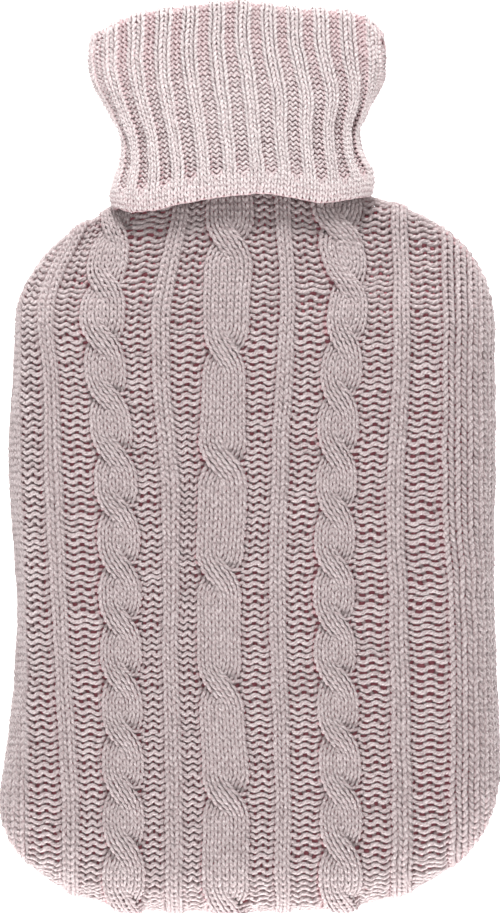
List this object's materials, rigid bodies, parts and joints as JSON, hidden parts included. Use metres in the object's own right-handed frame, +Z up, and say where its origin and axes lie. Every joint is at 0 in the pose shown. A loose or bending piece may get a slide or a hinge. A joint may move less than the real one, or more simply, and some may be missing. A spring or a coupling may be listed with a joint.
{
  "type": "hot water bottle cover",
  "caption": "Knitted cover for a hot water bottle with raised cables, ribs and a folded-over ribbed roll neck; hollow and open at the mouth",
  "frame": {"origin": "middle of the bottom of the whole cover's box, on the surface it lies on", "axes": "X to the right and Y from the rounded bottom towards the folded roll neck as seen from above the cabled front, Z up from the flat back through the front"},
  "size_m": [0.205, 0.3743, 0.0453],
  "materials": {
    "front_panel": "pale pink soft-spun acrylic yarn, knitted in cables, ribs and reverse stocking stitch, matt with a fine fuzz",
    "back_panel": "the same pale pink yarn in plain stocking stitch, matt",
    "collar": "the same pale pink yarn in two-by-two rib with a smooth cast-off edge, matt"
  },
  "bodies": {
    "root": {"front_panel": "front_panel", "back_panel": "back_panel", "collar": "collar"}
  },
  "joints": []
}
